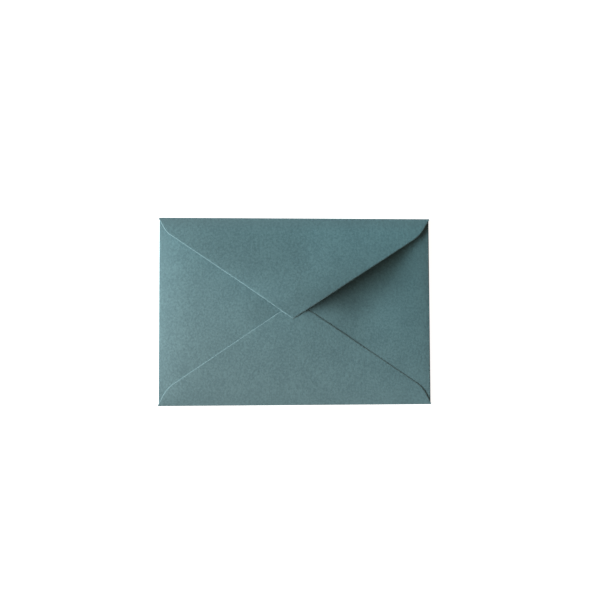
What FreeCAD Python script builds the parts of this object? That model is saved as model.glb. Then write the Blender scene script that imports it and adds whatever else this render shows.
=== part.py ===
import FreeCAD, Part
import math
import os

import Sketcher

# An empty paper envelope, folded from one die-cut sheet. It lies on its front panel with the
# flap side up. The two side flaps are folded in first, the bottom flap is glued over them, and
# the pointed top flap lies loose over all three: it rests on its point and arches up behind it.
# X runs along the long side, Y from the bottom fold to the top fold, and Z points up, all in
# millimetres. The origin is on the ground under the middle of the front panel.

# Driving sizes, in millimetres where the comment gives no other measure.
DRIVING_SIZES = {
    # The closed envelope, over its folds.
    "envelope_length": 160.0,
    "envelope_width": 110.0,
    # The paper, the inner radius of its side folds, and the air between two stacked layers.
    "paper_thickness": 0.18,
    "fold_radius": 0.25,
    "layer_gap": 0.14,
    # The side folds stand back from the ends of the top and bottom folds, and stop short of them.
    "side_fold_inset": 0.25,
    "corner_notch": 0.8,
    # Top flap, measured from the top edge and from the sides.
    "top_flap_reach": 59.5,
    "top_tip_offset": -1.6,
    "top_tip_radius": 0.8,
    "top_shoulder_inset": 4.5,
    "top_shoulder_drop": 9.0,
    "top_shoulder_radius": 13.0,
    # Bottom flap, measured from the bottom edge and from the sides, to its corners before rounding.
    "bottom_flap_reach": 60.9,
    "bottom_apex_radius": 20.0,
    "bottom_shoulder_inset": 5.0,
    "bottom_shoulder_rise": 10.3,
    "bottom_shoulder_radius": 17.0,
    # Each side flap's point, before rounding, stays this far from the middle.
    "side_point_to_middle": 1.0,
    "side_point_radius": 4.0,
    # The flaps bulge over the empty pocket. Each run is how far from a fold the bulge builds up.
    "bulge_height": 2.3,
    "bulge_left_run": 14.0,
    "bulge_right_run": 60.0,
    "bulge_top_run": 5.0,
    "bulge_bottom_run": 18.0,
    # The bulge is highest in the middle of the envelope.
    "crown_height": 1.2,
    "crown_half_length": 36.0,
    "crown_half_width": 30.0,
    # The left side flap's point dips a little.
    "dip_depth": 0.7,
    "dip_to_middle": 5.0,
    "dip_reach": 18.0,
    # The top flap rests on its point and arches up between that and its fold, more on the right.
    # Its height blends from left to right about a line at this place. Both shape values are plain
    # numbers: the skew moves the top of the arch towards the point, the ease softens its two ends.
    "arch_left": 5.0,
    "arch_right": 6.4,
    "arch_middle": 10.0,
    "arch_blend": 20.0,
    "arch_skew": 1.6,
    "arch_ease": 1.5,
    "tip_rest": 4.0,
    # Its left end stands up further, in a slope that starts softly at the point.
    "lift_left": 3.2,
    "lift_run": 7.5,
    "lift_soft_width": 8.0,
    # The glued seams between the bottom flap and the side flaps.
    "glue_width": 3.0,
    "glue_inset": 2.0,
    "glue_end_to_shoulder": 3.0,
    "glue_length": 36.0,
    "glue_bite": 0.05,
}

# Spacing of the heights that a curved panel's surface runs through.
HEIGHT_SPACING = 3.0
# How far an outline runs past its fold line, and a curved panel past its outline.
OVERRUN = 2.0
# The upright blocks that cut the curved panels to their outlines stand this far above them.
HEADROOM = 10.0
OUTLINE_HEIGHT = f"Sizes.bulge_height + Sizes.arch_right + Sizes.lift_left + {HEADROOM}"

HALF_LENGTH = "Sizes.envelope_length / 2"
HALF_WIDTH = "Sizes.envelope_width / 2"
LAYER = "(Sizes.paper_thickness + Sizes.layer_gap)"
# Inner radii: the bottom fold takes in one more layer than a side fold, the top fold two more.
FOLD_RADII = {
    "side": "Sizes.fold_radius",
    "bottom": f"(Sizes.fold_radius + {LAYER} / 2)",
    "top": f"(Sizes.fold_radius + {LAYER})",
}
# The fold lines, where the flat paper turns into the round of the fold.
SIDE_LINE = f"({HALF_LENGTH} - Sizes.side_fold_inset - {FOLD_RADII['side']} - Sizes.paper_thickness)"
BOTTOM_LINE = f"(-({HALF_WIDTH}) + {FOLD_RADII['bottom']} + Sizes.paper_thickness)"
TOP_LINE = f"({HALF_WIDTH} - {FOLD_RADII['top']} - Sizes.paper_thickness)"


def add_sizes(doc):
    """Put the driving sizes in a spreadsheet, one named cell each."""
    sheet = doc.addObject("Spreadsheet::Sheet", "Sizes")
    for row, (name, value) in enumerate(DRIVING_SIZES.items(), start=1):
        sheet.set(f"A{row}", name)
        sheet.set(f"B{row}", str(value))
        sheet.setAlias(f"B{row}", name)
    doc.recompute()
    return sheet


def outline_block(doc, name, corners, height, roundings=()):
    """Pad an outline given by its corners, each a pair of expressions, and round some of them.

    Each rounding names the size of its radius and the indices of the corners it rounds.
    """
    body = doc.addObject("PartDesign::Body", name)
    sketch = body.newObject("Sketcher::SketchObject", name + "_plan")
    ground = [plane for plane in body.Origin.OriginFeatures if plane.Role == "XY_Plane"][0]
    sketch.AttachmentSupport = [(ground, "")]
    sketch.MapMode = "FlatFace"
    points = [FreeCAD.Vector(sketch.evalExpression(x), sketch.evalExpression(y)) for x, y in corners]
    for index, point in enumerate(points):
        sketch.addGeometry(Part.LineSegment(point, points[(index + 1) % len(points)]))
    for index, (x, y) in enumerate(corners):
        before = (index - 1) % len(points)
        sketch.addConstraint(Sketcher.Constraint("Coincident", before, 2, index, 1))
        for kind, value, place in (("DistanceX", x, points[index].x), ("DistanceY", y, points[index].y)):
            row = sketch.addConstraint(Sketcher.Constraint(kind, -1, 1, index, 1, place))
            sketch.setExpression(f"Constraints[{row}]", value)
    pad = body.newObject("PartDesign::Pad", name + "_pad")
    pad.Profile = sketch
    pad.setExpression("Length", height)
    doc.recompute()
    last = pad
    for number, (radius, indices) in enumerate(roundings, start=1):
        upright = [edge_at(last.Shape, points[index]) for index in indices]
        rounding = body.newObject("PartDesign::Fillet", f"{name}_rounding_{number}")
        rounding.Base = (last, upright)
        rounding.setExpression("Radius", radius)
        doc.recompute()
        last = rounding
    body.Tip = last
    return body


def edge_at(shape, corner):
    """Name the upright edge that stands on a corner of the outline."""
    for number, edge in enumerate(shape.Edges, start=1):
        if all(math.hypot(v.X - corner.x, v.Y - corner.y) < 1e-6 for v in edge.Vertexes):
            return f"Edge{number}"
    raise ValueError(f"no upright edge at {corner}")


def curved_slab(doc, name, x_range, y_range, height, thickness):
    """Make a slab of even upright thickness whose underside runs through height(x, y)."""
    x_steps = math.ceil((x_range[1] - x_range[0]) / HEIGHT_SPACING)
    y_steps = math.ceil((y_range[1] - y_range[0]) / HEIGHT_SPACING)
    x_step = (x_range[1] - x_range[0]) / x_steps
    y_step = (y_range[1] - y_range[0]) / y_steps
    heights = []
    for i in range(x_steps + 1):
        x = x_range[0] + i * x_step
        heights.append([height(x, y_range[0] + j * y_step) for j in range(y_steps + 1)])
    underside = Part.BSplineSurface()
    underside.interpolate(heights, x_range[0], x_step, y_range[0], y_step)
    slab = doc.addObject("Part::Feature", name)
    slab.Shape = underside.toShape().extrude(FreeCAD.Vector(0, 0, thickness))
    return slab


def panel(doc, name, outline, slab):
    """Trim a curved slab to its outline."""
    common = doc.addObject("Part::Common", name)
    common.Base = outline
    common.Tool = slab
    return common


def fold(doc, name, outward, along, radius, start, length):
    """Make a fold as half a tube of paper that bulges outward and runs along its fold line."""
    turn = FreeCAD.Rotation(outward.cross(along), outward, along, "ZYX")
    halves = []
    for side, size in (("outer", f"{radius} + Sizes.paper_thickness"), ("inner", radius)):
        half = doc.addObject("Part::Cylinder", f"{name}_{side}")
        half.Angle = 180
        half.Placement = FreeCAD.Placement(FreeCAD.Vector(), turn)
        half.setExpression("Radius", size)
        half.setExpression("Height", length)
        half.setExpression("Placement.Base.x", start[0])
        half.setExpression("Placement.Base.y", start[1])
        half.setExpression("Placement.Base.z", f"Sizes.paper_thickness + {radius}")
        halves.append(half)
    ring = doc.addObject("Part::Cut", name)
    ring.Base = halves[0]
    ring.Tool = halves[1]
    return ring


def front_panel(doc):
    """The flat front. Its corners run out to the full length, to carry the two long folds."""
    ear = "Sizes.corner_notch / 2"
    right = [
        (HALF_LENGTH, BOTTOM_LINE),
        (HALF_LENGTH, f"{BOTTOM_LINE} + {ear}"),
        (SIDE_LINE, f"{BOTTOM_LINE} + {ear}"),
        (SIDE_LINE, f"{TOP_LINE} - {ear}"),
        (HALF_LENGTH, f"{TOP_LINE} - {ear}"),
        (HALF_LENGTH, TOP_LINE),
    ]
    left = [(f"-({x})", y) for x, y in reversed(right)]
    return outline_block(doc, "front_panel", right + left, "Sizes.paper_thickness")


def side_outline(doc, name, sign):
    """A side flap's outline: its fold line, and two straight edges that meet in a rounded point."""
    low = f"{BOTTOM_LINE} + Sizes.corner_notch"
    high = f"{TOP_LINE} - Sizes.corner_notch"
    line = f"{sign} * {SIDE_LINE}"
    beyond = f"{sign} * ({SIDE_LINE} + {OVERRUN})"
    point = f"{sign} * Sizes.side_point_to_middle"
    corners = [(beyond, low), (beyond, high), (line, high), (point, f"({low} + {high}) / 2"), (line, low)]
    return outline_block(doc, name, corners, OUTLINE_HEIGHT, [("Sizes.side_point_radius", [3])])


def bottom_outline(doc):
    """The bottom flap's outline: shoulders that rise from the corners, and a blunt rounded apex."""
    shoulder = ("Sizes.envelope_length / 2 - Sizes.bottom_shoulder_inset",
                f"Sizes.bottom_shoulder_rise - {HALF_WIDTH}")
    right = [(HALF_LENGTH, f"{BOTTOM_LINE} - {OVERRUN}"), (HALF_LENGTH, BOTTOM_LINE), shoulder]
    left = [(f"-({x})", y) for x, y in reversed(right)]
    apex = [("0", f"Sizes.bottom_flap_reach - {HALF_WIDTH}")]
    roundings = [("Sizes.bottom_shoulder_radius", [2, 4]), ("Sizes.bottom_apex_radius", [3])]
    return outline_block(doc, "bottom_flap_outline", right + apex + left, OUTLINE_HEIGHT, roundings)


def top_outline(doc):
    """The top flap's outline: shoulders that fall from the corners, and a sharp point."""
    shoulder = ("Sizes.envelope_length / 2 - Sizes.top_shoulder_inset",
                f"{HALF_WIDTH} - Sizes.top_shoulder_drop")
    right = [(HALF_LENGTH, f"{TOP_LINE} + {OVERRUN}"), (HALF_LENGTH, TOP_LINE), shoulder]
    left = [(f"-({x})", y) for x, y in reversed(right)]
    tip = [("Sizes.top_tip_offset", f"{HALF_WIDTH} - Sizes.top_flap_reach")]
    roundings = [("Sizes.top_shoulder_radius", [2, 4]), ("Sizes.top_tip_radius", [3])]
    return outline_block(doc, "top_flap_outline", right + tip + left, OUTLINE_HEIGHT, roundings)


def glue_outline(doc, name, sign):
    """One glued seam's outline: a straight band that follows the bottom flap's edge."""
    run = "(Sizes.envelope_length / 2 - Sizes.bottom_shoulder_inset)"
    rise = "(Sizes.bottom_flap_reach - Sizes.bottom_shoulder_rise)"
    edge = f"sqrt({run} ^ 2 + {rise} ^ 2)"
    corners = []
    for along, inward in (("near", "outer"), ("far", "outer"), ("far", "inner"), ("near", "inner")):
        reach = "Sizes.glue_end_to_shoulder" + (" + Sizes.glue_length" if along == "far" else "")
        depth = "Sizes.glue_inset" + (" + Sizes.glue_width" if inward == "inner" else "")
        x = f"{run} - ({reach}) * {run} / {edge} - ({depth}) * {rise} / {edge}"
        y = (f"Sizes.bottom_shoulder_rise - {HALF_WIDTH}"
             f" + ({reach}) * {rise} / {edge} - ({depth}) * {run} / {edge}")
        corners.append((f"{sign} * ({x})", y))
    return outline_block(doc, name, corners, OUTLINE_HEIGHT)


def build_up(distance, run):
    """Share of the bulge at a distance from a fold: nothing at the fold, nearly all past three runs."""
    return 1 - math.exp(-distance / run)


def soft_rise(distance, span, softness):
    """Rise from 0 at the start of a span to 1 at its end, straight but for a soft start."""
    def bent(length):
        return math.hypot(length, softness) - softness
    return bent(max(distance, 0.0)) / bent(span)


class Layers:
    """Heights of the undersides of the stacked flaps over the flat front."""

    def __init__(self, sheet):
        """Read the sizes, and work out the fold lines from the same expressions as the outlines."""
        self.size = {name: sheet.get(name) for name in DRIVING_SIZES}
        self.side = sheet.evalExpression(SIDE_LINE)
        self.bottom = sheet.evalExpression(BOTTOM_LINE)
        self.top = sheet.evalExpression(TOP_LINE)
        self.layer = self.size["paper_thickness"] + self.size["layer_gap"]

    def bulge(self, x, y):
        """How far the flaps stand up over the pocket. It is nothing along all four fold lines."""
        size = self.size
        left = build_up(self.side + x, size["bulge_left_run"])
        right = build_up(self.side - x, size["bulge_right_run"])
        bottom = build_up(y - self.bottom, size["bulge_bottom_run"])
        top = build_up(self.top - y, size["bulge_top_run"])
        crown = math.exp(-(x / size["crown_half_length"]) ** 2 - (y / size["crown_half_width"]) ** 2)
        return (size["bulge_height"] + size["crown_height"] * crown) * left * right * bottom * top

    def right_side(self, x, y):
        """Underside of the right side flap, which starts where its fold ends."""
        return self.size["paper_thickness"] + 2 * self.size["fold_radius"] + self.bulge(x, y)

    def left_side(self, x, y):
        """Underside of the left side flap, the same but for the dip at its point."""
        from_point = math.hypot(x + self.size["dip_to_middle"], y)
        dip = self.size["dip_depth"] * math.exp(-(from_point / self.size["dip_reach"]) ** 2)
        return self.right_side(x, y) - dip

    def glue(self, x, y):
        """Underside of a glued seam, which bites a little into the side flap below it."""
        return self.right_side(x, y) + self.size["paper_thickness"] - self.size["glue_bite"]

    def bottom_flap(self, x, y):
        """Underside of the bottom flap, one layer above the side flaps."""
        return self.right_side(x, y) + self.layer

    def arch(self, x, y):
        """Rise of the top flap between its fold and the last stretch before its point."""
        size = self.size
        reach = size["top_flap_reach"] - size["envelope_width"] / 2 + self.top - size["tip_rest"]
        share = min(max((self.top - y) / reach, 0.0), 1.0)
        rightness = 0.5 + 0.5 * math.tanh((x - size["arch_middle"]) / size["arch_blend"])
        height = size["arch_left"] + (size["arch_right"] - size["arch_left"]) * rightness
        return height * max(math.sin(math.pi * share ** size["arch_skew"]), 0.0) ** size["arch_ease"]

    def top_flap(self, x, y):
        """Underside of the top flap, two layers above the side flaps, arched and with its left end up."""
        size = self.size
        left = soft_rise(size["top_tip_offset"] - x, size["envelope_length"] / 2 + size["top_tip_offset"],
                         size["lift_soft_width"])
        lift = size["lift_left"] * left * build_up(self.top - y, size["lift_run"])
        return self.right_side(x, y) + 2 * self.layer + self.arch(x, y) + lift


def build_flaps(doc, layers):
    """Trim each flap from its curved slab, and the glued seams from theirs."""
    size = layers.size
    paper = size["paper_thickness"]
    full = (-size["envelope_length"] / 2 - OVERRUN, size["envelope_length"] / 2 + OVERRUN)
    side_span = (layers.bottom, layers.top)
    bottom_apex = size["bottom_flap_reach"] - size["envelope_width"] / 2
    top_tip = size["envelope_width"] / 2 - size["top_flap_reach"]
    plans = [
        ("left_flap", side_outline(doc, "left_flap_outline", -1),
         (-layers.side, 0.0), side_span, layers.left_side, paper),
        ("right_flap", side_outline(doc, "right_flap_outline", 1),
         (0.0, layers.side), side_span, layers.right_side, paper),
        ("bottom_flap", bottom_outline(doc),
         full, (layers.bottom, bottom_apex + OVERRUN), layers.bottom_flap, paper),
        ("top_flap", top_outline(doc),
         full, (top_tip - OVERRUN, layers.top), layers.top_flap, paper),
    ]
    glue = size["layer_gap"] + 2 * size["glue_bite"]
    for name, sign in (("left_glue", -1), ("right_glue", 1)):
        plans.append((name, glue_outline(doc, name + "_outline", sign),
                      full, (layers.bottom, bottom_apex + OVERRUN), layers.glue, glue))
    flaps = []
    for name, outline, x_range, y_range, height, thickness in plans:
        slab = curved_slab(doc, name + "_slab", x_range, y_range, height, thickness)
        flaps.append(panel(doc, name, outline, slab))
    return flaps


def build_folds(doc):
    """Make the four folds round the front panel."""
    east = FreeCAD.Vector(1, 0, 0)
    north = FreeCAD.Vector(0, 1, 0)
    side_start = f"{BOTTOM_LINE} + Sizes.corner_notch"
    side_length = f"{TOP_LINE} - {BOTTOM_LINE} - 2 * Sizes.corner_notch"
    long_start = f"-({HALF_LENGTH})"
    return [
        fold(doc, "right_fold", east, north, FOLD_RADII["side"], (SIDE_LINE, side_start), side_length),
        fold(doc, "left_fold", -east, north, FOLD_RADII["side"], (f"-{SIDE_LINE}", side_start), side_length),
        fold(doc, "bottom_fold", -north, east, FOLD_RADII["bottom"], (long_start, BOTTOM_LINE),
             "Sizes.envelope_length"),
        fold(doc, "top_fold", north, east, FOLD_RADII["top"], (long_start, TOP_LINE),
             "Sizes.envelope_length"),
    ]


def check(doc, envelope, sheet):
    """Stop if any object failed, if the envelope isn't one sound solid, or if it lacks a piece."""
    for thing in doc.Objects:
        if "Invalid" in thing.State or "Error" in thing.State:
            raise RuntimeError(f"{thing.Label} failed: {thing.State}")
    shape = envelope.Shape
    if shape.isNull() or not shape.isValid() or len(shape.Solids) != 1:
        raise RuntimeError(f"{envelope.Label} isn't one valid solid")
    # Only the two glued seams overlap other pieces, each on both of its faces.
    overlap = 4 * sheet.get("glue_bite") * sheet.get("glue_width") * sheet.get("glue_length")
    whole = sum(piece.Shape.Volume for piece in envelope.Shapes) - overlap
    if abs(shape.Volume - whole) > 0.001 * whole:
        raise RuntimeError(f"{envelope.Label} lacks a panel, a fold or a seam")


doc = FreeCAD.newDocument("paper_envelope")
sizes = add_sizes(doc)
pieces = [front_panel(doc)] + build_folds(doc) + build_flaps(doc, Layers(sizes))
envelope = doc.addObject("Part::MultiFuse", "folded_sheet")
envelope.Shapes = pieces
envelope.Label = "envelope"
doc.recompute()
check(doc, envelope, sizes)

os.makedirs("parts", exist_ok=True)
envelope.Shape.exportStep(f"parts/{envelope.Label}.step")
box = envelope.Shape.optimalBoundingBox(True, False)
print(f"{envelope.Label}: {box.XLength:.2f} x {box.YLength:.2f} x {box.ZLength:.2f} mm,"
      f" {envelope.Shape.Volume:.1f} mm3, {len(envelope.Shape.Faces)} faces")
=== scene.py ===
import math

import bmesh
import bpy
import numpy as np
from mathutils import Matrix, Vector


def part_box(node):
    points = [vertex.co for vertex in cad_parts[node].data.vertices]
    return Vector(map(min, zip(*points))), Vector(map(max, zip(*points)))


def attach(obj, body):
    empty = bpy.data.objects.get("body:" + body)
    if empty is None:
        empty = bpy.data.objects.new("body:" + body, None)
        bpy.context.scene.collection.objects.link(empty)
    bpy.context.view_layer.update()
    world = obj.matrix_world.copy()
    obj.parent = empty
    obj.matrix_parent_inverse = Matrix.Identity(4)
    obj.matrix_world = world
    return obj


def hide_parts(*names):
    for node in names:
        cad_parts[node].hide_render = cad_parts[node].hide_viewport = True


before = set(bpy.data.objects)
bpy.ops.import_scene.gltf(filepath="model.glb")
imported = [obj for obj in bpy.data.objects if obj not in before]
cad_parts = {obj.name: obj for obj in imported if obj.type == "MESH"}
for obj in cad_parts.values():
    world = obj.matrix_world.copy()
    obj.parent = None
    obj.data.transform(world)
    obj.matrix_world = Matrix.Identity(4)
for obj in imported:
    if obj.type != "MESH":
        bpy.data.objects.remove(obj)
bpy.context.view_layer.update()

# Everything is in metres. The envelope lies on its front with the flap side up.
MM = 0.001
LOW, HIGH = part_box("envelope")
LENGTH = HIGH.x - LOW.x
WIDTH = HIGH.y - LOW.y

# The paper, its folds, and the air between two stacked layers.
PAPER = 0.18 * MM
SIDE_RADIUS = 0.25 * MM
LAYER = PAPER + 0.14 * MM
BOTTOM_RADIUS = SIDE_RADIUS + LAYER / 2
TOP_RADIUS = SIDE_RADIUS + LAYER
SIDE_INSET = 0.25 * MM
NOTCH = 0.8 * MM
SIDE_LINE = LENGTH / 2 - SIDE_INSET - SIDE_RADIUS - PAPER
BOTTOM_LINE = -WIDTH / 2 + BOTTOM_RADIUS + PAPER
TOP_LINE = WIDTH / 2 - TOP_RADIUS - PAPER

# Outlines of the flaps. The top flap's point lies left of the middle. A shoulder is given by how far
# it lies in from the envelope's end and from its long edge. Every corner has a rounding radius.
TIP_OFFSET = -1.6 * MM
TOP_REACH = 59.5 * MM
TIP_ROUND = 0.8 * MM
TOP_LEFT_SHOULDER = (4.5 * MM, 9.0 * MM)
TOP_LEFT_ROUND = 13.0 * MM
TOP_RIGHT_SHOULDER = (5.6 * MM, 10.2 * MM)
TOP_RIGHT_ROUND = 20.0 * MM
BOTTOM_REACH = 60.9 * MM
APEX_ROUND = 20.0 * MM
BOTTOM_SHOULDER = (5.0 * MM, 10.3 * MM)
BOTTOM_ROUND = 17.0 * MM
# The side flaps' points stay this far from the middle, before they are rounded.
SIDE_POINT = 1.0 * MM
SIDE_POINT_ROUND = 4.0 * MM

# The flaps bulge over the empty pocket, and a little more in the middle.
BULGE = 2.05 * MM
BULGE_LEFT_RUN = 12.5 * MM
BULGE_RIGHT_RUN = 60.0 * MM
BULGE_TOP_RUN = 5.0 * MM
BULGE_BOTTOM_RUN = 18.0 * MM
CROWN = 1.2 * MM
CROWN_LENGTH = 36.0 * MM
CROWN_WIDTH = 30.0 * MM
# Beside its right fold the bulge drops away a little more steeply.
BROW = 0.10 * MM
BROW_RUN = 2.5 * MM
# The side flaps dip, the left one at its point and the right one beside the top flap's edge:
# depth, reach, and place.
LEFT_DIP = (0.7 * MM, 18.0 * MM, (-5.0 * MM, 0.0))
RIGHT_DIP = (0.6 * MM, 15.0 * MM, (42.0 * MM, 3.0 * MM))
# The top flap arches from its fold to its point, more on the right. The arch ends just before the point.
ARCH_LEFT = 5.4 * MM
ARCH_RIGHT = 6.0 * MM
ARCH_MIDDLE = 10.0 * MM
ARCH_BLEND = 20.0 * MM
ARCH_SKEW = 2.2
TIP_REST = 4.0 * MM
# Its left end stands up, and its right end a little. A lift grows from its start to the end of the
# flap, builds up past the fold, and fades out before the point.
LIFT_LEFT = 3.2 * MM
LIFT_LEFT_START = 10.0 * MM
LIFT_RIGHT = 0.35 * MM
LIFT_RIGHT_START = 35.0 * MM
LIFT_SOFT = 8.0 * MM
LIFT_RUN = 7.5 * MM
LIFT_FADE = 3
# Its left end is free of the side fold, and keeps this share of the bulge there.
FREE_SHARE = 0.45
# The point itself is pressed onto the bottom flap.
TIP_PRESS = 0.20 * MM
TIP_PRESS_REACH = 8.0 * MM

# The bottom flap is glued flat onto the side flaps: it settles by this depth past its fold.
SETTLE_DEPTH = 0.135 * MM
SETTLE_RUN = 8.0 * MM
# The top flap's slanting edges curl down. The curl starts at the fold, is full at this depth from
# it, and dies out before the point.
CURL_DEPTH = 0.7 * MM
CURL_WIDTH = 9.0 * MM
CURL_FULL = 46.0 * MM
CURL_END = 54.0 * MM
CURL_FADE = 8.0 * MM
# Cut edges are rolled down a little by the die, less where the paper is glued down. The roll is
# full at this depth from the fold.
ROLL_FREE = 0.12 * MM
ROLL_GLUED = 0.07 * MM
ROLL_WIDTH = 0.6 * MM
ROLL_FULL = 1.0 * MM

# Spacing of the mesh, of its first rows beside a cut edge or a fold, and of the fine path that its
# rows end on. Rows closer than the least gap are one row.
MESH_STEP = 1.8 * MM
EDGE_STEPS = np.array([0.0, 0.12, 0.27, 0.45, 0.7, 1.05, 1.6, 2.5]) * MM
FOLD_STEPS = np.array([0.0, 0.35, 0.9, 1.7]) * MM
FINE_STEP = MESH_STEP / 12
LEAST_GAP = 0.02 * MM
# Distances to a cut edge are measured to the fine path, which is taken in longer steps for that.
FINE_STRIDE = 4
# Straight pieces in the round of a fold, and the fewest in a rounded corner.
FOLD_SEGMENTS = 10
LEAST_ROUND_SEGMENTS = 8
# Points that agree to this length are one point.
SAME_PLACE = 0.001 * MM
ROUNDING_ERROR = 1e-7
# Edges of the mesh that turn by more than this many degrees stay sharp.
SHARP_ANGLE = 50.0
# The mesh carries each point's distance in millimetres from a cut edge, from a fold and, for the
# gum, from the top flap's edge. This one stands for far away.
FAR = 30.0

# Display colours: the paper's face in its light and deep tone, the same two where it looks cooler,
# the pale cut edge, which also serves as a painted highlight, the painted shade beside a fold, and the
# gum.
FACE_COLOUR = (105, 133, 136)
DEEP_COLOUR = (90, 117, 121)
COOL_COLOUR = (93, 135, 141)
DEEP_COOL_COLOUR = (77, 117, 124)
PALE_FIBRE_AND_HIGHLIGHT_COLOUR = (158, 185, 189)
FOLD_SHADE_COLOUR = (82, 109, 114)
GUM_COLOUR = (96, 120, 118)

# The grain: the size of each kind of mark, and its shares in the tone and in the relief. Fibres are
# squeezed across their length, and turned by radians.
CLOUD_SIZE = 14.0 * MM
CLOUD_TONE = 0.15
MOTTLE_SIZE = 1.3 * MM
MOTTLE_TONE = 0.48
MOTTLE_RELIEF = 1.0
FIBRE_SIZE = 0.9 * MM
FIBRE_SHAPE = (1.0, 3.2, 1.0)
FIBRE_TURN = (0.0, 0.0, 0.35)
FIBRE_TONE = 0.24
FIBRE_RELIEF = 0.4
FLECK_SIZE = 0.6 * MM
FLECK_TONE = 0.13
FLECK_RELIEF = 0.2
RELIEF_DEPTH = 0.09 * MM
# The grain's values between which the face goes from its deep to its light tone.
TONE_RANGE = (0.40, 0.60)
# The colour turns a little cooler towards the top right: direction, and where that starts and ends.
COOL_DIRECTION = (0.5, 0.87)
COOL_RANGE = (-75.0 * MM, 85.0 * MM)
# Pale fibre at a cut edge, which also stands in for a painted highlight there, the painted shade
# beside a fold and the worn crest of a fold: reach in millimetres, strength, and range. Fibre and
# wear range over the grain's values. The painted shade ranges over the envelope's width, and is
# darkest towards its top.
PALE_REACH = 0.35
PALE_STRENGTH = 0.8
PALE_RANGE = (0.30, 0.75)
FOLD_SHADE_REACH = 9.0
FOLD_SHADE_STRENGTH = (0.1, 0.38)
FOLD_SHADE_RANGE = (-10.0 * MM, 40.0 * MM)
WEAR_REACH = 0.5
WEAR_STRENGTH = 0.05
WEAR_RANGE = (0.42, 0.66)
# The gum on the top flap's underside, in millimetres: where the band fades in and out beside the cut
# edge, and where it starts past the fold. Then how well it covers, and how much smoother it is.
GUM_FADE_IN = (1.8, 2.2)
GUM_FADE_OUT = (13.2, 12.6)
GUM_PAST_FOLD = (7.0, 8.0)
GUM_COVER = 0.6
GUM_SMOOTH = 0.42
# How matt the paper is, least and most, over these values of its mottle, and its faint gloss.
ROUGHNESS = (0.80, 0.92)
ROUGHNESS_RANGE = (0.3, 0.7)
GLOSS = 0.3
SHEEN = 0.08
SHEEN_ROUGHNESS = 0.6

# The photograph's view: its camera stood a little left of and below the middle. Turns in degrees.
CAMERA_PLACE = (-26.2 * MM, -19.3 * MM, 490.0 * MM)
CAMERA_TURN = (3.038, -3.366, -0.184)
CAMERA_LENS = 50.0

# A large soft window on the left, and a dim, warm and even fill. Angles in degrees.
WINDOW_DISTANCE = 2.0
WINDOW_TURN = 179.0
WINDOW_HALF_ANGLE = 30.0
WINDOW_SILL_ANGLE = 4.5
WINDOW_TOP_ANGLE = 20.0
WINDOW_POWER = 195.0
WINDOW_COLOUR = (0.954, 1.0, 1.025)
FILL_STRENGTH = 0.14
FILL_COLOUR = (1.25, 1.0, 0.84, 1.0)
WHITE = (1.0, 1.0, 1.0, 1.0)

FLOOR_SIZE = 4.0
FLOOR_GAP = 0.02 * MM
FLOOR_COLOUR = (0.8, 0.8, 0.8, 1.0)
FLOOR_GLOW = 0.9


def srgb(levels):
    """Linear colour of a display colour given in levels up to 255."""
    shares = [level / 255 for level in levels]
    return tuple(((share + 0.055) / 1.055) ** 2.4 for share in shares) + (1.0,)


def build_up(distance, run):
    """Rise from 0 at a fold towards 1 far from it. Each run closes most of what is left."""
    return 1 - np.exp(-distance / run)


def soft_rise(distance, span):
    """Rise from 0 at the start of a span to 1 at its end, straight but for a soft start."""
    bent = np.hypot(np.maximum(distance, 0), LIFT_SOFT) - LIFT_SOFT
    return bent / (math.hypot(span, LIFT_SOFT) - LIFT_SOFT)


def bulge(x, y):
    """How far the flaps stand up over the pocket."""
    across = build_up(SIDE_LINE + x, BULGE_LEFT_RUN) * build_up(SIDE_LINE - x, BULGE_RIGHT_RUN)
    along = build_up(y - BOTTOM_LINE, BULGE_BOTTOM_RUN) * build_up(TOP_LINE - y, BULGE_TOP_RUN)
    crown = CROWN * np.exp(-(x / CROWN_LENGTH) ** 2 - (y / CROWN_WIDTH) ** 2)
    brow = BROW * build_up(SIDE_LINE - x, BROW_RUN) * build_up(SIDE_LINE + x, BULGE_LEFT_RUN)
    return ((BULGE + crown) * across + brow) * along


def side_height(x, y):
    """Underside of the side flaps, but for their dips."""
    return PAPER + 2 * SIDE_RADIUS + bulge(x, y)


def dipped(x, y, dip):
    """Underside of a side flap with its dip."""
    depth, reach, place = dip
    return side_height(x, y) - depth * np.exp(-(np.hypot(x - place[0], y - place[1]) / reach) ** 2)


def left_height(x, y):
    """Underside of the left side flap."""
    return dipped(x, y, LEFT_DIP)


def right_height(x, y):
    """Underside of the right side flap."""
    return dipped(x, y, RIGHT_DIP)


def bottom_height(x, y):
    """Underside of the bottom flap, one layer up."""
    return side_height(x, y) + LAYER


def top_height(x, y):
    """Underside of the top flap, two layers up and sprung from there."""
    share = np.clip((TOP_LINE - y) / (TOP_LINE - WIDTH / 2 + TOP_REACH - TIP_REST), 0, 1)
    rightness = 0.5 + 0.5 * np.tanh((x - ARCH_MIDDLE) / ARCH_BLEND)
    arch = np.maximum(np.sin(math.pi * share ** ARCH_SKEW), 0)
    arch *= ARCH_LEFT + (ARCH_RIGHT - ARCH_LEFT) * rightness
    lift = LIFT_LEFT * soft_rise(LIFT_LEFT_START - x, LENGTH / 2 + LIFT_LEFT_START)
    lift += LIFT_RIGHT * soft_rise(x - LIFT_RIGHT_START, LENGTH / 2 - LIFT_RIGHT_START)
    lift *= build_up(TOP_LINE - y, LIFT_RUN) * (1 - share ** LIFT_FADE)
    free = FREE_SHARE * BULGE * np.exp(-(SIDE_LINE + x) / BULGE_LEFT_RUN)
    free *= build_up(TOP_LINE - y, BULGE_TOP_RUN)
    tip = np.hypot(x - TIP_OFFSET, y - WIDTH / 2 + TOP_REACH)
    rest = TIP_PRESS * np.exp(-(tip / TIP_PRESS_REACH) ** 2)
    return side_height(x, y) + 2 * LAYER + arch + lift + free - rest


def settle(cut, depth):
    """How far the bottom flap has settled onto the side flaps."""
    return SETTLE_DEPTH * build_up(depth, SETTLE_RUN)


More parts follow.
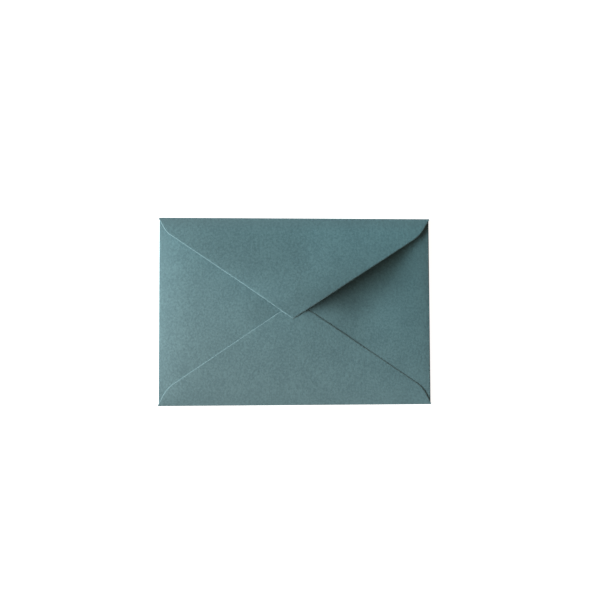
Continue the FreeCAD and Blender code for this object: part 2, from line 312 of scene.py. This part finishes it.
def curl(cut, depth):
    """How far the top flap's edge is curled down."""
    share = np.clip(depth / CURL_FULL, 0, 1) * np.clip((CURL_END - depth) / CURL_FADE, 0, 1)
    return CURL_DEPTH * np.exp(-cut / CURL_WIDTH) * share


def no_bend(cut, depth):
    """The side flaps' edges lie under the other flaps and stay straight."""
    return np.zeros_like(cut)


def columns(width, count):
    """Places of the mesh's columns across a width: close together at both ends, even between."""
    near = EDGE_STEPS * min(1.0, width / (4 * EDGE_STEPS[-1]))
    middle = np.linspace(near[-1], width - near[-1], count + 1)[1:-1]
    return np.concatenate([near, middle, width - near[::-1]])


def add_line(path, end, step):
    """Go straight from the path's last point to an end, in even steps."""
    start = path[-1]
    pieces = max(1, math.ceil(np.linalg.norm(end - start) / step))
    for piece in range(1, pieces + 1):
        path.append(start + (end - start) * piece / pieces)


def rounded_path(corners, radii, step):
    """Points along a chain of straight lines whose inner corners are rounded."""
    corners = [np.array(corner, float) for corner in corners]
    path = [corners[0]]
    for index, radius in enumerate(radii, start=1):
        before = corners[index] - corners[index - 1]
        after = corners[index + 1] - corners[index]
        before /= np.linalg.norm(before)
        after /= np.linalg.norm(after)
        cross = before[0] * after[1] - before[1] * after[0]
        turn = math.atan2(cross, before @ after)
        reach = radius * math.tan(abs(turn) / 2)
        start = corners[index] - before * reach
        centre = start + np.array([-before[1], before[0]]) * radius * np.sign(turn)
        add_line(path, start, step)
        pieces = max(LEAST_ROUND_SEGMENTS, math.ceil(radius * abs(turn) / step))
        for piece in range(1, pieces + 1):
            angle = turn * piece / pieces
            arm = start - centre
            turned = np.array([arm[0] * math.cos(angle) - arm[1] * math.sin(angle),
                               arm[0] * math.sin(angle) + arm[1] * math.cos(angle)])
            path.append(centre + turned)
    add_line(path, corners[-1], step)
    return np.array(path)


def distance_to_path(points, path):
    """Shortest distance from each point to a chain of short straight lines."""
    best = np.full(len(points), np.inf)
    for start, end in zip(path[:-1], path[1:]):
        line = end - start
        share = np.clip(((points - start) @ line) / (line @ line), 0, 1)
        gap = np.linalg.norm(points - start - share[:, None] * line, axis=1)
        best = np.minimum(best, gap)
    return best


class Sheet:
    """The folded sheet: pairs of points on its outer and inner face, and the quads between them."""

    def __init__(self):
        self.pairs = []
        self.marks = []
        self.quads = []
        self.known = {}

    def add(self, outer, inner, marks, keep=None):
        """Add a grid of point pairs. Points that are already there are shared."""
        rows, cols = outer.shape[:2]
        numbers = np.empty((rows, cols), int)
        for row in range(rows):
            for col in range(cols):
                pair = np.concatenate([outer[row, col], inner[row, col]])
                key = tuple(np.round(pair / SAME_PLACE).astype(int))
                if key not in self.known:
                    self.known[key] = len(self.pairs)
                    self.pairs.append(pair)
                    self.marks.append(marks[row, col])
                numbers[row, col] = self.known[key]
        for row in range(rows - 1):
            for col in range(cols - 1):
                if keep is None or keep(row, col):
                    self.quads.append((numbers[row, col], numbers[row, col + 1],
                                       numbers[row + 1, col + 1], numbers[row + 1, col]))

    def mesh(self, name):
        """Close the sheet: both faces, and a narrow rim wherever the paper was cut."""
        count = len(self.pairs)
        pairs = np.array(self.pairs)
        points = np.concatenate([pairs[:, :3], pairs[:, 3:]])
        sides = {}
        for quad in self.quads:
            for start, end in zip(quad, quad[1:] + quad[:1]):
                sides.setdefault((min(start, end), max(start, end)), []).append((start, end))
        faces = list(self.quads)
        faces += [tuple(count + number for number in reversed(quad)) for quad in self.quads]
        rims = [uses[0] for uses in sides.values() if len(uses) == 1]
        faces += [(end, start, count + start, count + end) for start, end in rims]
        mesh = bpy.data.meshes.new(name)
        mesh.from_pydata([tuple(point) for point in points], [], faces)
        marks = np.array(self.marks)
        for place, mark in enumerate(("cut", "crease", "gum")):
            values = np.concatenate([marks[:, place], marks[:, place]])
            set_mark(mesh, mark, values)
        set_mark(mesh, "inner_face", np.concatenate([np.zeros(count), np.ones(count)]))
        shell = bmesh.new()
        shell.from_mesh(mesh)
        bmesh.ops.recalc_face_normals(shell, faces=shell.faces)
        shell.to_mesh(mesh)
        shell.free()
        mesh.shade_smooth()
        mesh.set_sharp_from_angle(angle=math.radians(SHARP_ANGLE))
        return mesh


def set_mark(mesh, name, values):
    """Give every point of the mesh a number under this name."""
    layer = mesh.attributes.new(name, "FLOAT", "POINT")
    layer.data.foreach_set("value", values.astype(np.float32))


def flap(sheet, outline, radii, to_plan, height, count, bend, roll_depth, gum=False):
    """Add one flap. Its outline is given as places along the fold and depths in from it."""
    path = rounded_path(outline, radii, MESH_STEP)
    fine = rounded_path(outline, radii, FINE_STEP)
    far = np.argmax(fine[:, 1])
    first = fine[:far + 1]
    last = fine[far:][::-1]
    depths = np.unique(np.concatenate([FOLD_STEPS, path[:np.argmax(path[:, 1]), 1]]))
    depths = depths[np.concatenate([[True], np.diff(depths) > LEAST_GAP])]
    grid = []
    for depth in depths:
        start = np.interp(depth, first[:, 1], first[:, 0])
        end = np.interp(depth, last[:, 1], last[:, 0])
        along = start + columns(end - start, count)
        grid.append(np.stack([along, np.full_like(along, depth)], axis=1))
    grid = np.array(grid)
    depth = grid[..., 1]
    cut = distance_to_path(grid.reshape(-1, 2), fine[::FINE_STRIDE]).reshape(depth.shape)
    cut[:, 0] = 0
    cut[:, -1] = 0
    x, y = to_plan(grid[..., 0], depth)
    low = height(x, y) - bend(cut, depth)
    roll = roll_depth * np.clip(1 - cut / ROLL_WIDTH, 0, 1) ** 2
    # The rolled edge dies out at the fold, where the round of the fold takes over.
    roll *= np.clip(depth / ROLL_FULL, 0, 1)
    inner = np.stack([x, y, low], axis=2)
    outer = np.stack([x, y, low + PAPER - roll], axis=2)
    band = cut / MM if gum else np.full_like(cut, FAR)
    marks = np.stack([np.minimum(cut / MM, FAR), np.minimum(depth / MM, FAR), band], axis=2)
    sheet.add(outer, inner, marks)


def fold(sheet, along, radius, to_plan):
    """Add one round fold, from its flap over the outside and down to the front panel."""
    angles = np.linspace(math.pi / 2, -math.pi / 2, FOLD_SEGMENTS + 1)
    faces = []
    for reach in (radius + PAPER, radius):
        rows = []
        for angle in angles:
            x, y = to_plan(along, np.full_like(along, -reach * math.cos(angle)))
            height = PAPER + radius + reach * math.sin(angle)
            rows.append(np.stack([x, y, np.full_like(along, height)], axis=1))
        faces.append(np.array(rows))
    ends = np.minimum(along - along.min(), along.max() - along) / MM
    marks = np.zeros(faces[0].shape)
    marks[..., 0] = np.minimum(ends, FAR)
    marks[..., 2] = FAR
    sheet.add(faces[0], faces[1], marks)


def front(sheet, xs, ys):
    """Add the flat front panel. Only its four corners run out past the side fold lines."""
    x, y = np.meshgrid(xs, ys)
    outer = np.stack([x, y, np.zeros_like(x)], axis=2)
    inner = np.stack([x, y, np.full_like(x, PAPER)], axis=2)
    fold_gap = np.minimum(SIDE_LINE - np.abs(x), np.minimum(y - BOTTOM_LINE, TOP_LINE - y))
    marks = np.full(outer.shape, FAR)
    marks[..., 1] = np.clip(fold_gap / MM, 0, FAR)
    reach = SIDE_LINE + ROUNDING_ERROR

    def keep(row, col):
        """Leave out the cells beside the side folds, but for the ears at the corners."""
        inside = xs[col] >= -reach and xs[col + 1] <= reach
        return inside or row == 0 or row == len(ys) - 2

    sheet.add(outer, inner, marks, keep)


def over_top(along, depth):
    """Place in plan of a point on the top flap."""
    return along, TOP_LINE - depth


def over_bottom(along, depth):
    """Place in plan of a point on the bottom flap."""
    return along, BOTTOM_LINE + depth


def over_left(along, depth):
    """Place in plan of a point on the left side flap."""
    return depth - SIDE_LINE, along


def over_right(along, depth):
    """Place in plan of a point on the right side flap."""
    return SIDE_LINE - depth, along


def shouldered(reach, point, left, right, edge):
    """Outline of the top or bottom flap: two shoulders and a point."""
    half = LENGTH / 2
    return [(-half, 0), (left[0] - half, left[1] - edge), (point, reach - edge),
            (half - right[0], right[1] - edge), (half, 0)]


def envelope_mesh():
    """The whole envelope as one folded sheet."""
    sheet = Sheet()
    long_count = round(LENGTH / MESH_STEP)
    side_start = BOTTOM_LINE + NOTCH
    side_span = TOP_LINE - BOTTOM_LINE - 2 * NOTCH
    side_count = round(side_span / MESH_STEP)
    xs = -LENGTH / 2 + columns(LENGTH, long_count)
    ys_side = side_start + columns(side_span, side_count)
    ys_low = [BOTTOM_LINE, BOTTOM_LINE + NOTCH / 2]
    ys_high = [TOP_LINE - NOTCH / 2, TOP_LINE]
    front(sheet, xs, np.concatenate([ys_low, ys_side, ys_high]))

    top = shouldered(TOP_REACH, TIP_OFFSET, TOP_LEFT_SHOULDER, TOP_RIGHT_SHOULDER, WIDTH / 2 - TOP_LINE)
    bottom = shouldered(BOTTOM_REACH, 0, BOTTOM_SHOULDER, BOTTOM_SHOULDER, BOTTOM_LINE + WIDTH / 2)
    side = [(side_start, 0), (side_start + side_span / 2, SIDE_LINE - SIDE_POINT),
            (side_start + side_span, 0)]
    flap(sheet, top, [TOP_LEFT_ROUND, TIP_ROUND, TOP_RIGHT_ROUND], over_top, top_height, long_count,
         curl, ROLL_FREE, gum=True)
    flap(sheet, bottom, [BOTTOM_ROUND, APEX_ROUND, BOTTOM_ROUND], over_bottom, bottom_height, long_count,
         settle, ROLL_GLUED)
    flap(sheet, side, [SIDE_POINT_ROUND], over_left, left_height, side_count, no_bend, ROLL_GLUED)
    flap(sheet, side, [SIDE_POINT_ROUND], over_right, right_height, side_count, no_bend, ROLL_GLUED)
    fold(sheet, xs, TOP_RADIUS, over_top)
    fold(sheet, xs, BOTTOM_RADIUS, over_bottom)
    fold(sheet, ys_side, SIDE_RADIUS, over_left)
    fold(sheet, ys_side, SIDE_RADIUS, over_right)
    return sheet.mesh("folded_paper_sheet")


class Nodes:
    """Short calls to add and link shader nodes."""

    def __init__(self, owner):
        owner.use_nodes = True
        self.tree = owner.node_tree
        self.tree.nodes.clear()

    def put(self, value, socket):
        """Link another node's output to an input, or set the input to a plain value."""
        if isinstance(value, bpy.types.NodeSocket):
            self.tree.links.new(value, socket)
        else:
            socket.default_value = value

    def add(self, kind, inputs=None, **settings):
        """Add a node, set its properties and fill its inputs by name."""
        node = self.tree.nodes.new(kind)
        for name, value in settings.items():
            setattr(node, name, value)
        for name, value in (inputs or {}).items():
            self.put(value, node.inputs[name])
        return node

    def mark(self, name):
        """A number that the mesh carries."""
        return self.add("ShaderNodeAttribute", attribute_name=name).outputs["Fac"]

    def noise(self, where, size, detail, roughness=0.55, distortion=0.0):
        """Noise with features of about this size in metres, centred on 0.5."""
        inputs = {"Vector": where, "Scale": 1 / size, "Detail": detail,
                  "Roughness": roughness, "Distortion": distortion}
        return self.add("ShaderNodeTexNoise", inputs).outputs["Fac"]

    def math(self, operation, first, second):
        """One arithmetic step."""
        return self.add("ShaderNodeMath", {0: first, 1: second}, operation=operation).outputs[0]

    def product(self, first, *others):
        """Product of two values or more."""
        result = first
        for other in others:
            result = self.math("MULTIPLY", result, other)
        return result

    def total(self, *parts):
        """Sum of values, each given with its share."""
        result = self.math("MULTIPLY", *parts[0])
        for part in parts[1:]:
            result = self.math("ADD", result, self.math("MULTIPLY", *part))
        return result

    def ramp(self, value, start, end, out_start=0.0, out_end=1.0):
        """Map a value's range to another, with soft ends."""
        inputs = {"Value": value, "From Min": start, "From Max": end,
                  "To Min": out_start, "To Max": out_end}
        return self.add("ShaderNodeMapRange", inputs, interpolation_type="SMOOTHSTEP").outputs["Result"]

    def mix(self, share, first, second):
        """Mix two colours."""
        node = self.add("ShaderNodeMix", data_type="RGBA")
        sockets = {socket.name: socket for socket in node.inputs if socket.enabled}
        self.put(share, sockets["Factor"])
        self.put(first, sockets["A"])
        self.put(second, sockets["B"])
        return [socket for socket in node.outputs if socket.enabled][0]

    def if_seen(self, otherwise, seen):
        """One shader for what the camera sees directly, and another for everything else."""
        ray = self.add("ShaderNodeLightPath").outputs["Is Camera Ray"]
        return self.add("ShaderNodeMixShader", {0: ray, 1: otherwise, 2: seen}).outputs["Shader"]


def paper_material():
    """Uncoated, dyed-through paper: cloudy, faintly fibrous, with a soft tooth, pale cut edges that also
    carry a painted highlight, and painted shade beside its folds.
    """
    material = bpy.data.materials.new("teal_paper")
    nodes = Nodes(material)
    where = nodes.add("ShaderNodeTexCoord").outputs["Object"]
    place = nodes.add("ShaderNodeSeparateXYZ", {"Vector": where}).outputs
    cut = nodes.mark("cut")
    crease = nodes.mark("crease")
    gum = nodes.mark("gum")
    inner = nodes.mark("inner_face")

    clouds = nodes.noise(where, CLOUD_SIZE, detail=2.0)
    mottle = nodes.noise(where, MOTTLE_SIZE, detail=3.0, roughness=0.6)
    flecks = nodes.noise(where, FLECK_SIZE, detail=2.0, roughness=0.6)
    stretched = nodes.add("ShaderNodeMapping", {
        "Vector": where, "Scale": FIBRE_SHAPE, "Rotation": FIBRE_TURN}).outputs["Vector"]
    fibres = nodes.noise(stretched, FIBRE_SIZE, detail=4.0, roughness=0.7, distortion=1.2)

    tone = nodes.total((clouds, CLOUD_TONE), (mottle, MOTTLE_TONE), (fibres, FIBRE_TONE),
                       (flecks, FLECK_TONE))
    light = nodes.ramp(tone, *TONE_RANGE)
    slant = nodes.total((place["X"], COOL_DIRECTION[0]), (place["Y"], COOL_DIRECTION[1]))
    face = nodes.mix(nodes.ramp(slant, *COOL_RANGE),
                     nodes.mix(light, srgb(DEEP_COLOUR), srgb(FACE_COLOUR)),
                     nodes.mix(light, srgb(DEEP_COOL_COLOUR), srgb(COOL_COLOUR)))

    # Painted shade darkens the paper beside a fold, most towards the top. The paper is paler where its
    # fibre was cut or worn.
    fold_shade = nodes.product(nodes.ramp(crease, FOLD_SHADE_REACH, 0.0),
                               nodes.ramp(place["Y"], *FOLD_SHADE_RANGE, *FOLD_SHADE_STRENGTH))
    colour = nodes.mix(fold_shade, face, srgb(FOLD_SHADE_COLOUR))
    # The pale cut edge is partly paler cut fibre and partly a painted highlight on the edges.
    pale = nodes.mix(nodes.ramp(fibres, *PALE_RANGE), srgb(FACE_COLOUR), srgb(PALE_FIBRE_AND_HIGHLIGHT_COLOUR))
    colour = nodes.mix(nodes.product(nodes.ramp(cut, PALE_REACH, 0.0), PALE_STRENGTH), colour, pale)
    wear = nodes.product(nodes.ramp(crease, WEAR_REACH, 0.0),
                         nodes.ramp(mottle, *WEAR_RANGE, 0.0, WEAR_STRENGTH))
    colour = nodes.mix(wear, colour, srgb(PALE_FIBRE_AND_HIGHLIGHT_COLOUR))

    # A band of dried gum follows the slanting edges of the top flap's underside.
    band = nodes.product(nodes.ramp(gum, *GUM_FADE_IN), nodes.ramp(gum, *GUM_FADE_OUT),
                         inner, nodes.ramp(crease, *GUM_PAST_FOLD))
    colour = nodes.mix(nodes.product(band, GUM_COVER), colour, srgb(GUM_COLOUR))
    rough = nodes.ramp(mottle, *ROUGHNESS_RANGE, *ROUGHNESS)
    rough = nodes.math("SUBTRACT", rough, nodes.product(band, GUM_SMOOTH))

    relief = nodes.total((flecks, FLECK_RELIEF), (fibres, FIBRE_RELIEF), (mottle, MOTTLE_RELIEF))
    bump = nodes.add("ShaderNodeBump", {"Strength": 1.0, "Distance": RELIEF_DEPTH, "Height": relief})
    surface = nodes.add("ShaderNodeBsdfPrincipled", {
        "Base Color": colour, "Roughness": rough, "Normal": bump.outputs["Normal"],
        "Specular IOR Level": GLOSS, "Sheen Weight": SHEEN, "Sheen Roughness": SHEEN_ROUGHNESS})
    nodes.add("ShaderNodeOutputMaterial", {"Surface": surface.outputs["BSDF"]})
    return material


def build_envelope():
    """Put the finished sheet in the place of the plain one."""
    mesh = envelope_mesh()
    piece = bpy.data.objects.new("folded_paper_sheet", mesh)
    bpy.context.scene.collection.objects.link(piece)
    mesh.materials.append(paper_material())
    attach(piece, "root")
    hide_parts("envelope")


def add_camera():
    """A camera at the photograph's viewing angle."""
    data = bpy.data.cameras.new("camera")
    data.lens = CAMERA_LENS
    camera = bpy.data.objects.new("camera", data)
    camera.location = CAMERA_PLACE
    camera.rotation_euler = [math.radians(angle) for angle in CAMERA_TURN]
    bpy.context.scene.collection.objects.link(camera)
    bpy.context.scene.camera = camera


def add_window():
    """The window, as one upright lamp that faces the envelope."""
    sill = WINDOW_DISTANCE * math.tan(math.radians(WINDOW_SILL_ANGLE))
    head = WINDOW_DISTANCE * math.tan(math.radians(WINDOW_TOP_ANGLE))
    data = bpy.data.lights.new("window", "AREA")
    data.shape = "RECTANGLE"
    data.size = 2 * WINDOW_DISTANCE * math.tan(math.radians(WINDOW_HALF_ANGLE))
    data.size_y = head - sill
    data.energy = WINDOW_POWER
    data.color = WINDOW_COLOUR
    turn = math.radians(WINDOW_TURN)
    lamp = bpy.data.objects.new("window", data)
    lamp.location = (WINDOW_DISTANCE * math.cos(turn), WINDOW_DISTANCE * math.sin(turn), (sill + head) / 2)
    lamp.rotation_euler = (math.pi / 2, 0, turn + math.pi / 2)
    bpy.context.scene.collection.objects.link(lamp)


def add_world():
    """The fill from all round, before a white background."""
    world = bpy.data.worlds.new("fill")
    nodes = Nodes(world)
    fill = nodes.add("ShaderNodeBackground", {"Color": FILL_COLOUR, "Strength": FILL_STRENGTH})
    white = nodes.add("ShaderNodeBackground", {"Color": WHITE, "Strength": 1.0})
    shown = nodes.if_seen(fill.outputs["Background"], white.outputs["Background"])
    nodes.add("ShaderNodeOutputWorld", {"Surface": shown})
    bpy.context.scene.world = world


def add_floor():
    """A plain white floor that keeps the envelope's soft shadow."""
    mesh = bpy.data.meshes.new("floor")
    half = FLOOR_SIZE / 2
    mesh.from_pydata([(-half, -half, -FLOOR_GAP), (half, -half, -FLOOR_GAP),
                      (half, half, -FLOOR_GAP), (-half, half, -FLOOR_GAP)], [], [(0, 1, 2, 3)])
    floor = bpy.data.objects.new("floor", mesh)
    bpy.context.scene.collection.objects.link(floor)
    material = bpy.data.materials.new("white_floor")
    nodes = Nodes(material)
    matte = nodes.add("ShaderNodeBsdfDiffuse", {"Color": FLOOR_COLOUR}).outputs["BSDF"]
    glow = nodes.add("ShaderNodeEmission", {"Color": WHITE, "Strength": FLOOR_GLOW}).outputs["Emission"]
    lit = nodes.add("ShaderNodeAddShader", {0: matte, 1: glow}).outputs["Shader"]
    nodes.add("ShaderNodeOutputMaterial", {"Surface": nodes.if_seen(matte, lit)})
    mesh.materials.append(material)


bpy.context.scene.view_settings.view_transform = "Standard"
build_envelope()
add_camera()
add_window()
add_world()
add_floor()
